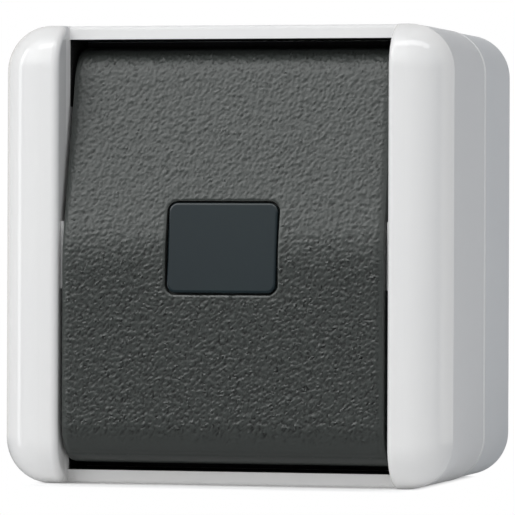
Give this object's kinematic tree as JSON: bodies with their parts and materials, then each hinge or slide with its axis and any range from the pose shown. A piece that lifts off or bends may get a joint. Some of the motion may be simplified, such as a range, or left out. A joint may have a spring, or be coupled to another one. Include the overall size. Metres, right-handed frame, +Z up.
{
  "type": "outdoor weatherproof switch",
  "caption": "Surface-mounted splash-proof rocker switch: two-part grey housing with raised side rails, dark grained rocker with a window, sealed toggle insert behind it.",
  "frame": {"origin": "centre of the base's flat back, on the wall's face", "axes": "+X to the right, the front with the rocker faces -Y, +Y into the wall, +Z up"},
  "size_m": [0.0754, 0.0515, 0.075],
  "materials": {
    "housing_grey": "moulded thermoplastic, fine matt",
    "cover_grey": "moulded thermoplastic, polished",
    "seal_rubber": "moulded elastomer",
    "grommet_rubber": "moulded soft elastomer, grey",
    "screw_steel": "zinc-plated steel",
    "rocker_anthracite": "moulded thermoplastic with leather grain",
    "window_smoke": "moulded smoke-grey thermoplastic",
    "label_film": "plain film",
    "insert_thermoset": "moulded thermoset",
    "insert_nylon": "moulded polyamide",
    "spring_steel": "drawn spring wire",
    "conductor_brass": "stamped brass",
    "contact_silver": "silver alloy rivets"
  },
  "bodies": {
    "housing": {"base_box": "housing_grey", "front_cover": "cover_grey", "rim_gasket": "seal_rubber", "end_seals": "seal_rubber", "cable_grommet_top": "grommet_rubber", "cable_grommet_bottom": "grommet_rubber", "cover_screws": "screw_steel", "sealing_membrane": "seal_rubber", "common_bracket": "conductor_brass", "upper_contact_strip": "conductor_brass", "lower_contact_strip": "conductor_brass", "fixed_contacts": "contact_silver", "common_terminal": "conductor_brass", "upper_terminal": "conductor_brass", "lower_terminal": "conductor_brass", "terminal_screws": "screw_steel", "insert_socket": "insert_thermoset", "insert_cover": "insert_thermoset", "insert_cover_screws": "screw_steel", "insert_screws": "screw_steel", "earth_terminal_body": "insert_nylon", "earth_terminal_block": "conductor_brass", "earth_terminal_screws": "screw_steel"},
    "rocker": {"rocker": "rocker_anthracite", "window_lens": "window_smoke", "label_card": "label_film"},
    "yoke": {"yoke": "insert_thermoset", "plunger": "insert_nylon", "plunger_spring": "spring_steel"},
    "contact_lever": {"contact_lever": "conductor_brass", "lever_contacts": "contact_silver"}
  },
  "joints": [
    {"name": "rocker_tilt", "type": "hinge", "parent": "housing", "child": "rocker", "pos_m": [0, -0.04, 0], "axis": [1, 0, 0], "range_deg": [0, 14], "deforming": ["sealing_membrane"]},
    {"name": "yoke_tilt", "type": "hinge", "parent": "housing", "child": "yoke", "pos_m": [0, -0.025, 0], "axis": [1, 0, 0], "range_deg": [0, 14]},
    {"name": "lever_tilt", "type": "hinge", "parent": "housing", "child": "contact_lever", "pos_m": [0, -0.014, 0], "axis": [1, 0, 0], "range_deg": [-12, 0]}
  ],
  "couplings": [
    {"joint": "yoke_tilt", "follows": "rocker_tilt", "ratio": 1},
    {"joint": "lever_tilt", "follows": "rocker_tilt", "ratio": -0.85714}
  ]
}
